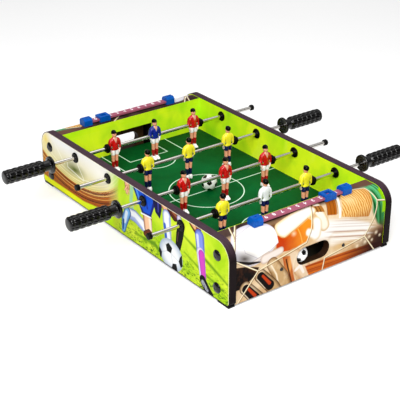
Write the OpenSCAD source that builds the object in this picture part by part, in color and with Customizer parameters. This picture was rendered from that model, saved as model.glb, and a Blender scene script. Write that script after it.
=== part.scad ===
// Tabletop foosball table with four rods, twelve figures and two score counters.
// X runs along the rods, Y along the table and Z up. The origin is on the surface
// that the feet stand on, in the middle of the table.

/* [Cabinet] */
// Length of the side panels
table_l = 510; // [500:1:540]
// Width over the two side panels
table_w = 306; // [300:1:330]
// Height of the side panels
panel_h = 96; // [94:1:104]
// Thickness of the side and end panels
panel_t = 12; // [11:0.5:14]
// Radius of the side panels' top corners
corner_r = 28; // [22:1:32]
// Radius of the side panels' bottom corners
toe_r = 6; // [3:1:10]
// Thickness of the edge band
band_t = 1.2; // [0.8:0.1:2]
// Distance that the side panels run past the end panels
end_inset = 1.5; // [1:0.5:3]
// Depth of an end box, from its outer face to the goal wall's inner face
end_depth = 45; // [43:1:50]
// Thickness of an end box's top board
top_t = 10; // [8:1:12]
// Distance from the side panels' top edge down to the end tops
top_drop = 2; // [1:0.5:4]
// Thickness of the goal wall
wall_t = 5; // [4:0.5:7]
// Height of the feet
foot_h = 3; // [2:0.5:5]
// Length of a foot along the side panel
foot_l = 25; // [15:1:40]

/* [Playfield] */
// Height of the playing surface above the side panels' bottom edge
field_h = 35; // [33:0.5:37]
// Thickness of the playfield board
field_t = 4; // [3:0.5:6]
// Width of a goal opening
goal_w = 80; // [70:1:90]
// Height of a goal opening
goal_h = 38; // [34:1:42]
// Width and height of a field rail
rail_w = 15; // [10:1:20]

/* [Ball return] */
// Length of the return slot
slot_l = 62; // [50:1:70]
// Height of the return slot
slot_h = 28; // [27.4:0.2:30]
// Height of the slot's lower edge above the end panel's bottom edge
slot_low = 21.5; // [20:0.5:24]
// Diameter of a ball
ball_d = 26; // [24:0.5:26.5]
// Distance from the table's middle to a tray screw
tray_screw_x = 59; // [54:1:66]
// Height of the tray screws above the end panel's bottom edge
tray_screw_h = 28; // [24:1:34]

/* [Rods] */
// Distance between neighbouring rods
rod_pitch = 96; // [94:1:100]
// Height of the rods above the side panels' bottom edge
rod_h = 81; // [80:0.5:82.5]
// Diameter of a rod
rod_d = 6; // [5:0.5:7]
// Distance from the table's middle to a handle's flange
handle_x = 197; // [197:1:210]
// Length of a handle with its flange
handle_l = 84; // [80:1:100]
// Diameter of the handle's grip
grip_d = 23; // [20:0.5:26]
// Diameter of the handle's flange
flange_d = 28; // [26:0.5:32]
// Distance from the table's middle to the end of the rod with the cap
stub_x = 210; // [208:1:220]
// Distance from the table's middle to a stop ring's outer end
ring_x = 98.5; // [97:0.5:100]
// Radial running clearance of a rod in its bushes and stop rings
run_gap = 0.05; // [0.03:0.01:0.08]

/* [Figures] */
// Distance between the figures on a rod
player_pitch = 79.5; // [76:0.5:82]
// Distance from the rod's axis up to the top of a head
head_up = 29.5; // [28:0.5:31]
// Distance from the rod's axis down to a figure's soles
sole_down = 43.2; // [42:0.2:43.6]

/* [Score counters] */
// Distance from the table's middle to a counter's middle line
counter_y = 223.5; // [222:0.5:225]
// Distance between neighbouring digits
digit_pitch = 14.5; // [14:0.1:15]
// Length of a counter's end block
block_l = 16; // [15:1:22]
// Width of a counter's end block
block_w = 16; // [15:0.5:18]
// Height of a counter's end block
block_h = 12.5; // [11:0.5:14]
// Goals shown by each counter
goals_shown = 1; // [0:1:9]

/* [Hidden] */
$fn = 64;
eps = 0.01;
half_l = table_l / 2;
half_w = table_w / 2;
inner_x = half_w - panel_t;
panel_top = foot_h + panel_h;
end_face = half_l - end_inset;
end_back = end_face - panel_t;
wall_face = end_face - end_depth;
wall_back = wall_face + wall_t;
end_top_z = panel_top - top_drop;
end_top_low = end_top_z - top_t;
field_z = foot_h + field_h;
field_low = field_z - field_t;
goal_top = field_z + goal_h;
slot_r = slot_h / 2;
slot_z = foot_h + slot_low + slot_r;
slot_half = slot_l / 2 - slot_r;
tray_screw_z = foot_h + tray_screw_h;
rod_z = foot_h + rod_h;
rod_r = rod_d / 2;
ball_r = ball_d / 2;

// Panel screws: two heights at each corner, in the middle of the corner block
block_y = (wall_back + end_back) / 2;
block_d = end_back - wall_back - 5;
block_x = 20;
screw_zs = [foot_h + 19, foot_h + 70];
screw_r = 2;
screw_l = 28;
head_r = 4;
head_t = 3;
cap_r = 8.3;
cap_h = 3.6;

// Bushes
sleeve_r = rod_r + 2.5;
bush_flange_r = 8.6;
bush_flange_t = 2.5;
press_gap = 0.02;

// Stop rings
ring_disc_r = 7.6;
ring_disc_t = 4;
ring_step_r = 5;
ring_step_t = 3.5;

// Handles
flange_t = 4;
neck_r = 8.4;
neck_l = 13;
groove_w = 1.6;
groove_depth = 1.4;
grip_rings = 6;
handle_bore_l = 70;
cap_l = 6;
stub_cap_r = 5;

// Balls at rest
field_ball_x = 5;
return_ball_x = -17;
return_ball_y = -(half_l - 0.5 - ball_r);
tray_floor_z = slot_z - slot_r;

// Tray
tray_wall = 2;
tray_half = goal_w / 2 + 2;
tray_top = goal_top + 2;
tray_ear = 8;
tray_screw_r = 1.5;

// Score counters
bar_w = 11;
bar_t = 3;
bar_low = end_top_z + 3;
last_digit = 9;
digit_0 = digit_pitch * last_digit / 2;
slider_l = 20;
slider_w = 17;
slider_top = end_top_z + 10;
block_x0 = digit_0 + slider_l / 2 + 0.5;
pocket = 5;
slide_gap = 0.3;
slider_x = digit_0 - goals_shown * digit_pitch;

ROD_PARTS = [
    "bar", "handle", "end_cap", "stop_rings", "player_left", "player_middle", "player_right", "pins"
];

// Rod 1 is the far one. Odd rods have their handle on the left, even rods on the right.
function rod_y(i) = (2.5 - i) * rod_pitch;
function handle_side(i) = i % 2 == 1 ? -1 : 1;
// Figures on odd rods face the near end, those on even rods the far end.
function facing(i) = i % 2 == 1 ? -1 : 1;
function player_x(k) = (k - 1) * player_pitch;
function shirt(i, k) =
    i % 2 == 1 ? (i == 1 && k == 1 ? "mediumblue" : "red") : (i == 4 && k == 1 ? "white" : "gold");

// Extrudes a Y-Z outline along X, from x = start.
module along_x(start, length) {
    translate([start, 0, 0])
        rotate([90, 0, 90])
            linear_extrude(length)
                children();
}

// Turns a revolved shape so that its axis points along X, away from the middle on that side.
module spun_x(side) {
    rotate([0, side * 90, 0])
        rotate_extrude()
            children();
}

// A cylinder along X from x = start.
module bar_x(start, length, r) {
    translate([start, 0, 0])
        rotate([0, 90, 0])
            cylinder(h = length, r = r);
}

// A cylinder along Y from y = start.
module bar_y(start, length, r) {
    translate([0, start, 0])
        rotate([-90, 0, 0])
            cylinder(h = length, r = r);
}

// Places a child at each of the four corners, mirrored from the right far one.
module at_corners() {
    for (sx = [0, 1])
        for (sy = [0, 1])
            mirror([sx, 0, 0])
                mirror([0, sy, 0])
                    children();
}

// Far end, or near end as its mirror image.
module at_end(far) {
    mirror([0, far ? 0 : 1, 0])
        children();
}

// ---- Cabinet

// Side panel's outline in Y and Z, drawn in by the given distance.
module side_outline(inset) {
    half = half_l - inset;
    low = foot_h + inset;
    high = panel_top - inset;
    top_r = corner_r - inset;
    low_r = toe_r - inset;
    translate([-half, low + low_r])
        square([2 * half, high - low - top_r - low_r]);
    translate([-half + top_r, low + low_r])
        square([2 * (half - top_r), high - low - low_r]);
    translate([-half + low_r, low])
        square([2 * (half - low_r), low_r + eps]);
    for (s = [-1, 1]) {
        translate([s * (half - top_r), high - top_r])
            circle(top_r);
        translate([s * (half - low_r), low + low_r])
            circle(low_r);
    }
}

module side_panel(side) {
    start = side < 0 ? -half_w : inner_x;
    color("yellowgreen")
        difference() {
            along_x(start, panel_t)
                side_outline(band_t);
            for (i = [1:4])
                translate([0, rod_y(i), rod_z])
                    bar_x(start - 1, panel_t + 2, sleeve_r + press_gap);
            for (sy = [-1, 1], z = screw_zs)
                translate([0, sy * block_y, z])
                    bar_x(start - 1, panel_t + 2, screw_r + 0.3);
        }
}

module edge_band(side) {
    start = side < 0 ? -half_w : inner_x;
    color([0.22, 0.13, 0.18])
        along_x(start, panel_t)
            difference() {
                side_outline(0);
                side_outline(band_t);
            }
}

// What the rounded outer edge of an end box leaves, in Y and Z.
module end_round() {
    round_y = end_face - corner_r + end_inset;
    r = corner_r - end_inset;
    round_z = end_top_z - r;
    translate([wall_face - 1, foot_h - 1])
        square([end_face - wall_face + 1, round_z - foot_h + 1]);
    translate([wall_face - 1, round_z - 1])
        square([end_face - r - wall_face + 1, r + 1]);
    translate([end_face - r, round_z])
        circle(r);
}

// The stadium slot, cut along Y.
module return_slot() {
    for (s = [-1, 1])
        translate([s * slot_half, 0, slot_z])
            bar_y(end_back - 1, panel_t + 2, slot_r);
    translate([-slot_half, end_back - 1, slot_z - slot_r])
        cube([2 * slot_half, panel_t + 2, slot_h]);
}

module end_panel(far) {
    color("peru")
        at_end(far)
            difference() {
                along_x(-inner_x, 2 * inner_x)
                    intersection() {
                        translate([end_back, foot_h])
                            square([panel_t, end_top_low - foot_h]);
                        end_round();
                    }
                return_slot();
                for (s = [-1, 1])
                    translate([s * tray_screw_x, 0, tray_screw_z])
                        bar_y(end_back - 1, panel_t + 2, tray_screw_r + 0.2);
            }
}

module end_top(far) {
    color("tan")
        at_end(far)
            along_x(-inner_x, 2 * inner_x)
                intersection() {
                    translate([wall_face, end_top_low])
                        square([end_depth, top_t]);
                    end_round();
                }
}

module goal_wall(far) {
    color("greenyellow")
        at_end(far)
            difference() {
                translate([-inner_x, wall_face, field_z])
                    cube([2 * inner_x, wall_t, end_top_low - field_z]);
                translate([-goal_w / 2, wall_face - 1, field_z - 1])
                    cube([goal_w, wall_t + 2, goal_h + 1]);
            }
}

// Black chute: a floor, two side walls, a back plate with ears and two screw bosses.
module ball_tray(far) {
    depth = end_back - wall_back;
    color([0.08, 0.08, 0.08])
        at_end(far) {
            translate([-tray_half - tray_wall, wall_back, tray_floor_z - tray_wall])
                cube([2 * (tray_half + tray_wall), depth, tray_wall]);
            for (s = [-1, 1]) {
                translate([s * (tray_half + tray_wall / 2) - tray_wall / 2, wall_back, tray_floor_z])
                    cube([tray_wall, depth, tray_top - tray_floor_z]);
                difference() {
                    tray_lug(s);
                    translate([s * tray_screw_x, 0, tray_screw_z])
                        bar_y(end_back - 9, 10, tray_screw_r);
                }
            }
        }
}

// Ear and screw boss on one side of the tray, against the end panel's back.
module tray_lug(s) {
    near_x = tray_half + tray_wall - eps;
    far_x = tray_screw_x + 5;
    ear_t = 2.5;
    translate([s > 0 ? near_x : -far_x, end_back - ear_t, tray_screw_z - tray_ear / 2])
        cube([far_x - near_x, ear_t, tray_ear]);
    translate([s * tray_screw_x, 0, tray_screw_z])
        bar_y(end_back - 9, 9, 3.4);
}

module playfield() {
    color("darkgreen")
        translate([-inner_x, -wall_back, field_low])
            cube([2 * inner_x, 2 * wall_back, field_t]);
}

module field_rails() {
    rail_l = 2 * (wall_face - 8);
    color("burlywood")
        for (s = [-1, 1])
            translate([s * (inner_x - rail_w / 2) - rail_w / 2, -rail_l / 2, field_low - rail_w])
                cube([rail_w, rail_l, rail_w]);
}

module corner_blocks() {
    color("burlywood")
        at_corners()
            difference() {
                translate([inner_x - block_x, end_back - block_d, foot_h + 5])
                    cube([block_x, block_d, end_top_low - foot_h - 5]);
                for (z = screw_zs)
                    translate([0, block_y, z])
                        bar_x(inner_x - screw_l + panel_t - 3, screw_l, screw_r);
            }
}

// Flat-headed screw from the side panel's outer face into the corner block.
module panel_screws() {
    color("silver")
        at_corners()
            for (z = screw_zs)
                translate([0, block_y, z]) {
                    bar_x(half_w - screw_l, screw_l, screw_r);
                    bar_x(half_w, head_t / 2, head_r);
                }
}

// Hollow dome that clips over a panel screw's head.
module screw_caps() {
    dome_r = (cap_r * cap_r + cap_h * cap_h) / (2 * cap_h);
    color([0.05, 0.05, 0.05])
        at_corners()
            for (z = screw_zs)
                translate([half_w, block_y, z])
                    difference() {
                        spun_x(1)
                            intersection() {
                                translate([0, cap_h - dome_r])
                                    circle(dome_r);
                                square([cap_r, cap_h]);
                            }
                        bar_x(-1, 1 + head_t / 2 + 0.1, head_r + 0.1);
                    }
}

module tray_screws() {
    shank = panel_t + 5;
    color([0.1, 0.1, 0.1])
        at_corners()
            translate([tray_screw_x, 0, tray_screw_z]) {
                bar_y(end_face - shank, shank, tray_screw_r);
                translate([0, end_face, 0])
                    rotate([-90, 0, 0])
                        cylinder(h = 1.3, r1 = 2.9, r2 = 2.2);
            }
}

module feet() {
    color([0.1, 0.1, 0.1])
        at_corners()
            translate([inner_x + 0.5, half_l - 2 - foot_l, 0])
                cube([panel_t - 1, foot_l, foot_h]);
}

// ---- Bushes

// Outer half of a bush: a rounded flange on the panel's outer face and a sleeve through it.
module rod_bushes() {
    color([0.05, 0.05, 0.05])
        for (i = [1:4], side = [-1, 1])
            translate([side * half_w, rod_y(i), rod_z])
                spun_x(side)
                    difference() {
                        union() {
                            rounded_flange();
                            translate([0, -panel_t])
                                square([sleeve_r, panel_t + 1]);
                        }
                        bush_bore();
                    }
}

// Ring on the panel's inner face, pressed onto the sleeve's end.
module bush_rings() {
    color([0.05, 0.05, 0.05])
        for (i = [1:4], side = [-1, 1])
            translate([side * inner_x, rod_y(i), rod_z])
                spun_x(-side)
                    difference() {
                        rounded_flange();
                        bush_bore();
                    }
}

// Half section of a flange whose outer edge is rounded, in radius and height.
module rounded_flange() {
    edge_r = 1.6;
    square([bush_flange_r, bush_flange_t - edge_r]);
    intersection() {
        square([bush_flange_r, bush_flange_t]);
        union() {
            square([bush_flange_r - edge_r, bush_flange_t]);
            translate([bush_flange_r - edge_r, bush_flange_t - edge_r])
                circle(edge_r);
        }
    }
}

module bush_bore() {
    translate([-1, -panel_t - 1])
        square([rod_r + run_gap + 1, panel_t + bush_flange_t + 2]);
}

// ---- Rods

module rod_bar(i) {
    side = handle_side(i);
    bar_l = stub_x - 1.5 + handle_x + handle_bore_l - 1;
    color("silver")
        translate([0, rod_y(i), rod_z])
            difference() {
                bar_x(side < 0 ? -handle_x - handle_bore_l + 1 : -stub_x + 1.5, bar_l, rod_r);
                for (k = [0:2])
                    translate([player_x(k), 0, 0])
                        pin_shape(i, 0.02);
            }
}

// Half section of a handle: flange, neck and a grip with ring grooves and a rounded end.
module handle_section() {
    grip_z = flange_t + neck_l;
    grip_l = handle_l - grip_z;
    end_r = 5;
    ring_l = (grip_l - end_r) / grip_rings;
    difference() {
        union() {
            square([flange_d / 2, flange_t]);
            square([neck_r, grip_z + 1]);
            translate([0, grip_z])
                square([grip_d / 2, grip_l - end_r]);
            square([grip_d / 2 - end_r, handle_l]);
            translate([grip_d / 2 - end_r, handle_l - end_r])
                circle(end_r);
        }
        for (g = [1:grip_rings - 1])
            translate([grip_d / 2 - groove_depth, grip_z + g * ring_l - groove_w / 2])
                square([groove_depth + 1, groove_w]);
        translate([-1, -1])
            square([rod_r + press_gap + 1, handle_bore_l + 1]);
        translate([-10, -1])
            square([10, handle_l + 2]);
    }
}

module rod_handle(i) {
    side = handle_side(i);
    color([0.05, 0.05, 0.05])
        translate([side * handle_x, rod_y(i), rod_z])
            spun_x(side)
                handle_section();
}

module rod_end_cap(i) {
    side = -handle_side(i);
    edge_r = 1.5;
    color([0.05, 0.05, 0.05])
        translate([side * (stub_x - cap_l + 0.5), rod_y(i), rod_z])
            spun_x(side)
                difference() {
                    union() {
                        square([stub_cap_r, cap_l - edge_r]);
                        square([stub_cap_r - edge_r, cap_l]);
                        translate([stub_cap_r - edge_r, cap_l - edge_r])
                            circle(edge_r);
                    }
                    translate([-1, -1])
                        square([rod_r + press_gap + 1, cap_l - 1]);
                }
}

// Two stepped rings, the wider step against the outer figures.
module rod_stop_rings(i) {
    color([0.1, 0.09, 0.09])
        for (side = [-1, 1])
            translate([side * (ring_x - ring_disc_t - ring_step_t), rod_y(i), rod_z])
                spun_x(side)
                    difference() {
                        union() {
                            square([ring_disc_r, ring_disc_t]);
                            square([ring_step_r, ring_disc_t + ring_step_t]);
                        }
                        translate([-1, -1])
                            square([rod_r + run_gap + 1, ring_disc_t + ring_step_t + 2]);
                    }
}

// Roll pin from a figure's back into the rod.
module pin_shape(i, gap) {
    side = -facing(i);
    translate([0, side > 0 ? -2 - gap : -4.5, 0])
        bar_y(0, 6.5 + gap, 0.8 + gap);
}

module rod_pins(i) {
    color("dimgray")
        for (k = [0:2])
            translate([player_x(k), rod_y(i), rod_z])
                pin_shape(i, 0);
}

// ---- Figures, drawn about the rod's axis and facing +Y

// Body, arms and legs from the front, in X and Z.
module front_outline() {
    for (s = [0, 1])
        mirror([s, 0])
            polygon([
                [-eps, 17.5], [6, 16.4], [8.9, 12.6], [11, 4], [10.8, -2.6],
                [8.2, -10.6], [7.2, -15.6], [6, -24], [5.6, -35], [6.1, -sole_down], [-eps, -sole_down]
            ]);
}

// Body, legs and shoes from the side, in Y and Z.
module side_profile() {
    polygon([
        [-3, 17.5], [-4.8, 12], [-5, -2], [-5.4, -8], [-4.6, -15], [-3.8, -24], [-3.6, -34],
        [-4.2, -sole_down + 1], [-3.6, -sole_down], [2, -sole_down], [8.4, -sole_down + 1.4],
        [8.2, -sole_down + 3.6], [3.8, -sole_down + 7], [3.4, -24], [4.4, -15], [5.2, -8],
        [5.2, 4], [5.4, 11], [3, 17.5]
    ]);
}

module figure() {
    head_r = 4.8;
    hair_r = 5.1;
    difference() {
        union() {
            intersection() {
                translate([0, 20, 0])
                    rotate([90, 0, 0])
                        linear_extrude(40)
                            front_outline();
                along_x(-12, 24)
                    side_profile();
            }
            translate([0, 0, 15])
                cylinder(h = 5, r = 2.8);
            translate([0, 0.4, head_up - hair_r - 1.2])
                sphere(head_r);
            translate([0, -0.4, head_up - hair_r])
                sphere(hair_r);
        }
        bar_x(-13, 26, rod_r + press_gap);
    }
}

module rod_player(i, k) {
    color(shirt(i, k))
        translate([player_x(k), rod_y(i), rod_z])
            difference() {
                rotate([0, 0, facing(i) > 0 ? 0 : 180])
                    figure();
                pin_shape(i, 0.02);
            }
}

// ---- Score counters

module score_bars() {
    bar_l = 2 * (block_x0 + pocket);
    color("palevioletred")
        for (s = [-1, 1])
            translate([-bar_l / 2, s * counter_y - bar_w / 2, bar_low])
                cube([bar_l, bar_w, bar_t]);
}

// Octagonal block with a pocket for the bar and a dimple on its top.
module score_blocks() {
    c = 3.5;
    half = block_w / 2;
    color("royalblue")
        for (sx = [0, 1], sy = [-1, 1])
            mirror([sx, 0, 0])
                translate([0, sy * counter_y, end_top_z])
                    difference() {
                        along_x(block_x0, block_l)
                            polygon([
                                [-half, 0], [half, 0], [half, block_h - c], [half - c, block_h],
                                [-half + c, block_h], [-half, block_h - c]
                            ]);
                        translate([block_x0 - 1, -bar_w / 2 - press_gap, bar_low - end_top_z - press_gap])
                            cube([pocket + 1, bar_w + 2 * press_gap, bar_t + 2 * press_gap]);
                        translate([block_x0 + block_l / 2, 0, block_h - 1.5])
                            cylinder(h = 3, r = 1.6);
                    }
}

// Frame round the bar with a window over one digit.
module score_slider(far) {
    s = far ? 1 : -1;
    low = end_top_z + slide_gap + 0.4;
    window_l = 10;
    window_w = 7.5;
    color("royalblue")
        translate([-s * slider_x, s * counter_y, 0])
            difference() {
                translate([-slider_l / 2, -slider_w / 2, low])
                    cube([slider_l, slider_w, slider_top - low]);
                translate([-slider_l, -bar_w / 2 - slide_gap, bar_low - slide_gap])
                    cube([2 * slider_l, bar_w + 2 * slide_gap, bar_t + 2 * slide_gap]);
                translate([-slider_l, -bar_w / 2 + 2, low - 1])
                    cube([2 * slider_l, bar_w - 4, bar_low - low + 1]);
                translate([-window_l / 2, -window_w / 2, bar_low])
                    cube([window_l, window_w, slider_top - bar_low + 1]);
            }
}

// ---- Balls

module field_ball() {
    color("white")
        translate([field_ball_x, 0, field_z + ball_r])
            sphere(ball_r);
}

module return_ball() {
    color("white")
        translate([return_ball_x, return_ball_y, tray_floor_z + ball_r + slide_gap])
            sphere(ball_r);
}

side_panel(-1);  // side_panel_left
side_panel(1);  // side_panel_right
edge_band(-1);  // edge_band_left
edge_band(1);  // edge_band_right
end_panel(false);  // end_panel_near
end_panel(true);  // end_panel_far
end_top(false);  // end_top_near
end_top(true);  // end_top_far
goal_wall(false);  // goal_wall_near
goal_wall(true);  // goal_wall_far
ball_tray(false);  // ball_tray_near
ball_tray(true);  // ball_tray_far
playfield();
field_rails();
corner_blocks();
panel_screws();
screw_caps();
tray_screws();
feet();
rod_bushes();
bush_rings();
score_bars();
score_blocks();
score_slider(false);  // score_slider_near
score_slider(true);  // score_slider_far
field_ball();
return_ball();
for (i = [1:4]) {
    rod_bar(i);
    rod_handle(i);
    rod_end_cap(i);
    rod_stop_rings(i);
    rod_player(i, 0);
    rod_player(i, 1);
    rod_player(i, 2);
    rod_pins(i);
}
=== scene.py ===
"""Looks of a tabletop foosball table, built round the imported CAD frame.

Helpers take millimetres; objects are in metres, in the frame of the CAD part: X along the rods,
Y along the table, Z up.
"""

import math

import bmesh
import bpy
from mathutils import Matrix, Vector


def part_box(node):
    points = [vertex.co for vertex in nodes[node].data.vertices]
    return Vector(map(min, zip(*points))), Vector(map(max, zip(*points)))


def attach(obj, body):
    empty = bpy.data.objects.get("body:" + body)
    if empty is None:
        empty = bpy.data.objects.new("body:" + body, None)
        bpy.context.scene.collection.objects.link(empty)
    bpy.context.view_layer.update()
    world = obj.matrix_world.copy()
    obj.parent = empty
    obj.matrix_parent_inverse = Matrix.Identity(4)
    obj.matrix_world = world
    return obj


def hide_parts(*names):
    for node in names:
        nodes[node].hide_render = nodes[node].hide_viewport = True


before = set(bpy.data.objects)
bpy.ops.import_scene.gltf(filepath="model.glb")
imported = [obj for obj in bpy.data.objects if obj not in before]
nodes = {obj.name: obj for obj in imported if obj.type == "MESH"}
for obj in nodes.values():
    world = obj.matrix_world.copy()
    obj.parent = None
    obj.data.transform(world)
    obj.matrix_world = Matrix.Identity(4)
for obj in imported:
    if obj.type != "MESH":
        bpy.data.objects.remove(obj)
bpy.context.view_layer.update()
MM = 0.001

# places in the CAD part, in millimetres
HALF_LENGTH = 255
PANEL_OUTER, PANEL_INNER = 153, 141
FIELD_TOP = 38
ROD_Y = {1: 144, 2: 48, 3: -48, 4: -144}
ROD_Z = 84
ROD_HOLE = 3.15
STOP_X, STUB_CAP_X = 91, 204.5
FIGURE_PITCH = 79.5
CAP_Y, CAP_Z = 227.5, (22, 73)
# rounded upper corners: radius, and distances of its centre from the middle and from the floor
PANEL_ROUND = (28, 227, 71)
END_ROUND = (26.5, 227, 70.5)
# inner face of the end boxes, and their ball slot's half length, height and end radius
END_INNER = 209
SLOT_HALF, SLOT_Z, SLOT_R = 17, 38.5, 14.1


# ---------- node trees


def rgb(code):
    """Linear colour of a #rrggbb code."""
    parts = [int(code[i : i + 2], 16) / 255 for i in (1, 3, 5)]
    return tuple(c / 12.92 if c <= 0.04045 else ((c + 0.055) / 1.055) ** 2.4 for c in parts) + (1,)


def dimmed(code, share):
    """Linear colour of a code, with its brightness multiplied by a share."""
    return tuple(c * share for c in rgb(code)[:3]) + (1,)


class Value:
    """A socket of a node tree, with arithmetic."""

    def __init__(self, net, socket):
        self.net, self.socket = net, socket

    def __add__(self, other):
        return self.net.math("ADD", self, other)

    def __sub__(self, other):
        return self.net.math("SUBTRACT", self, other)

    def __rsub__(self, other):
        return self.net.math("SUBTRACT", other, self)

    def __mul__(self, other):
        return self.net.math("MULTIPLY", self, other)

    def __neg__(self):
        return self.net.math("MULTIPLY", self, -1)

    def __abs__(self):
        return self.net.math("ABSOLUTE", self)


class Tree:
    """A node tree that is filled by code."""

    def __init__(self, tree):
        self.tree = tree

    def feed(self, socket, value):
        """Links a value, or sets a constant. A colour may be given as its #rrggbb code."""
        if isinstance(value, Value):
            self.tree.links.new(value.socket, socket)
        else:
            socket.default_value = rgb(value) if isinstance(value, str) else value

    def node(self, kind, inputs, out=0, **settings):
        made = self.tree.nodes.new("ShaderNode" + kind)
        for key, value in settings.items():
            setattr(made, key, value)
        for key, value in inputs.items():
            self.feed(made.inputs[key], value)
        return Value(self, made.outputs[out])

    def math(self, op, *args):
        return self.node("Math", dict(enumerate(args)), operation=op)

    def clamp(self, value):
        """A clamp node keeps long chains in order, so that few values are held at a time."""
        return self.node("Clamp", {0: value})

    def vec(self, op, *args):
        out = 1 if op in ("DOT_PRODUCT", "LENGTH") else 0
        return self.node("VectorMath", dict(enumerate(args)), out, operation=op)

    def scaled(self, vector, scale):
        return self.node("VectorMath", {0: vector, "Scale": scale}, operation="SCALE")

    def xyz(self, x=0, y=0, z=0):
        return self.node("CombineXYZ", {0: x, 1: y, 2: z})

    def split(self, vector):
        made = self.tree.nodes.new("ShaderNodeSeparateXYZ")
        self.feed(made.inputs[0], vector)
        return [Value(self, socket) for socket in made.outputs]

    def length(self, x, y, scale=None):
        """Length of (x, y), which may be scaled first."""
        point = self.xyz(x, y)
        return self.vec("LENGTH", point if scale is None else self.vec("MULTIPLY", point, scale))

    def ramp(self, value, low, high):
        """0 below low and 1 above high, with a soft step between them. Low may be above high."""
        slope = 1 / (high - low)
        return self.clamp(self.math("MULTIPLY_ADD", value, slope, -low * slope))

    def within(self, distance, soft=0.4):
        """1 inside, where the distance is negative."""
        return self.clamp(self.math("MULTIPLY_ADD", distance, -1 / soft, 0.5))

    def least(self, found, *others):
        for value in others:
            found = self.math("MINIMUM", found, value)
        return found

    def most(self, a, b):
        return self.math("MAXIMUM", a, b)

    def mix(self, mask, a, b):
        return self.node("Mix", {0: mask, 6: a, 7: b}, out=2, data_type="RGBA")

    def call(self, group, *inputs):
        """A group's node, with its inputs in their order. Returns all its outputs."""
        made = self.tree.nodes.new("ShaderNodeGroup")
        made.node_tree = group
        for socket, value in zip(made.inputs, inputs):
            self.feed(socket, value)
        return [Value(self, socket) for socket in made.outputs]


def group(name, inputs, outputs, fill):
    """A node group. Inputs and outputs are strings of words such as "gap:f point:v paint:c"."""
    tree = bpy.data.node_groups.new(name, "ShaderNodeTree")
    kinds = {"f": "NodeSocketFloat", "v": "NodeSocketVector", "c": "NodeSocketColor"}
    for words, way in ((inputs, "INPUT"), (outputs, "OUTPUT")):
        for word in words.split():
            label, kind = word.split(":")
            tree.interface.new_socket(label, in_out=way, socket_type=kinds[kind])
    net = Tree(tree)
    given = tree.nodes.new("NodeGroupInput").outputs
    results = fill(net, *(Value(net, socket) for socket in given[:-1]))
    sockets = tree.nodes.new("NodeGroupOutput").inputs
    for socket, value in zip(sockets, results):
        net.feed(socket, value)
    return tree


def fill_stroke(net, point, start, along, reach, radius, growth, gap, share):
    away = net.vec("SUBTRACT", point, start)
    h = net.clamp(net.vec("DOT_PRODUCT", away, along))
    size = net.vec("LENGTH", net.vec("SUBTRACT", away, net.scaled(reach, h)))
    here = net.math("MULTIPLY_ADD", h, growth, radius)
    gap = net.least(gap, size - here)
    return gap, net.least(share, net.math("DIVIDE", size, here))


def fill_side(net, point, normal, gap, bend):
    return (net.math("SMOOTH_MAX", gap, net.vec("DOT_PRODUCT", point, normal), bend),)


def fill_oval(net, point, first, second, small):
    across = net.vec("DOT_PRODUCT", point, first)
    along = net.vec("DOT_PRODUCT", point, second)
    share = net.length(across, along)
    fade = net.math("POWER", net.clamp(1 - share), 1.4)
    return (share - 1) * small, share, fade


def fill_lay(net, under, paint, rim, gap, share, crisp, amount):
    """Crisp is 1 over the width of the soft border. The rim's colour comes in towards a share of 1."""
    edge = net.ramp(share * share, 0.25, 1)
    mask = net.clamp(0.5 - gap * crisp) * amount
    return (net.mix(mask, under, net.mix(edge, paint, rim)),)


STROKE_INPUTS = "point:v start:v along:v reach:v radius:f growth:f gap:f share:f"
STROKE = group("stroke", STROKE_INPUTS, "gap:f share:f", fill_stroke)
SIDE = group("side", "point:v normal:v gap:f bend:f", "gap:f", fill_side)
OVAL = group("oval", "point:v first:v second:v small:f", "gap:f share:f fade:f", fill_oval)
LAY = group("lay", "under:c paint:c rim:c gap:f share:f crisp:f amount:f", "colour:c", fill_lay)


class Net(Tree):
    """One material and its node tree."""

    def __init__(self, name):
        self.material = bpy.data.materials.new(name)
        self.material.use_nodes = True
        super().__init__(self.material.node_tree)
        self.shader = self.tree.nodes["Principled BSDF"]
        self.spot = self.node("TexCoord", {}, out="Object")
        self.mm = self.scaled(self.spot, 1 / MM)
        self.x, self.y, self.z = self.split(self.mm)

    def noise(self, scale, detail=2, rough=0.5, warp=0, stretch=(1, 1, 1), along=None):
        """Noise of the given scale per millimetre, in space or along one value."""
        inputs = {"Scale": scale, "Detail": detail, "Roughness": rough, "Distortion": warp}
        if along is not None:
            return self.node("TexNoise", inputs | {"W": along}, noise_dimensions="1D")
        size = tuple(s / MM for s in stretch)
        return self.node("TexNoise", inputs | {"Vector": self.node("Mapping", {0: self.spot, 3: size})})

    def deepen(self, colour):
        """Darker middle tones, for a print that is lit brightly."""
        deep = self.node("Gamma", {"Color": colour, "Gamma": 1.3})
        return self.node("HueSaturation", {"Color": deep, "Value": 0.78})

    def board(self, colour, specular):
        """The even skin of a painted or printed board."""
        return self.finish(colour, 0.4, specular, bump=(self.noise(0.8, 2), 0.01))

    def finish(self, colour, rough, specular=0.5, coat=0, metal=0, bump=None):
        """Wires the shader. A bump is a height and its depth in millimetres."""
        s = self.shader.inputs
        self.feed(s["Base Color"], colour)
        if not isinstance(rough, Value):
            rough = (self.noise(0.35, 3) - 0.5) * 0.12 + rough
        self.feed(s["Roughness"], rough)
        s["Metallic"].default_value = metal
        s["Specular IOR Level"].default_value = specular
        s["Coat Weight"].default_value = coat
        s["Coat Roughness"].default_value = 0.12
        if bump is not None:
            height, depth = bump
            made = self.node("Bump", {"Height": height, "Distance": depth * MM, "Strength": 1})
            self.feed(s["Normal"], made)
        return self.material


FAR = 1000


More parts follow.
